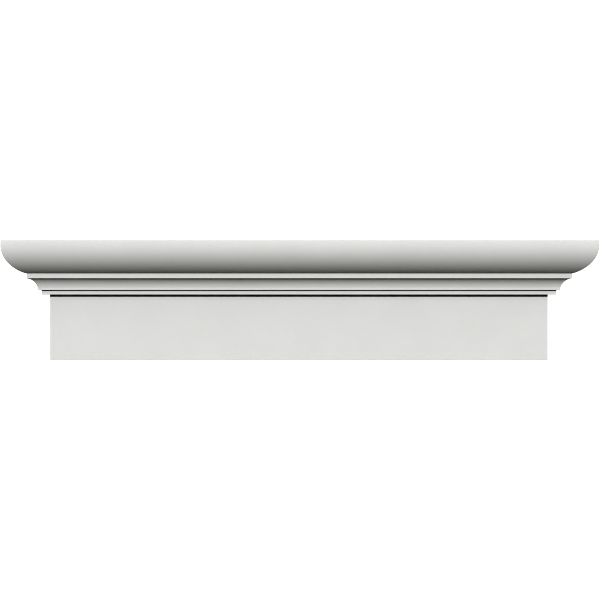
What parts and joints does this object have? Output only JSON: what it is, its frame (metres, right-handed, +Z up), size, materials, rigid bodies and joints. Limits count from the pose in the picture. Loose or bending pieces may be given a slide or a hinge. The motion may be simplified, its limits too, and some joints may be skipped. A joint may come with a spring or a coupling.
{
  "type": "over door cornice",
  "caption": "Over door cornice: a quarter-round crown with fillets, a cove and returned ends, above a plain flat frieze board, primed white.",
  "frame": {"origin": "the middle of the flat back face, where the part is fixed to the wall: half way along its width and half way up its height", "axes": "+X along the width, to the right of someone facing the wall; +Y out of the back, into the wall; +Z up, so the front faces -Y"},
  "size_m": [1.1406, 0.1143, 0.2286],
  "materials": {
    "primed_white": "satin"
  },
  "bodies": {
    "root": {"cornice": "primed_white"}
  },
  "joints": []
}
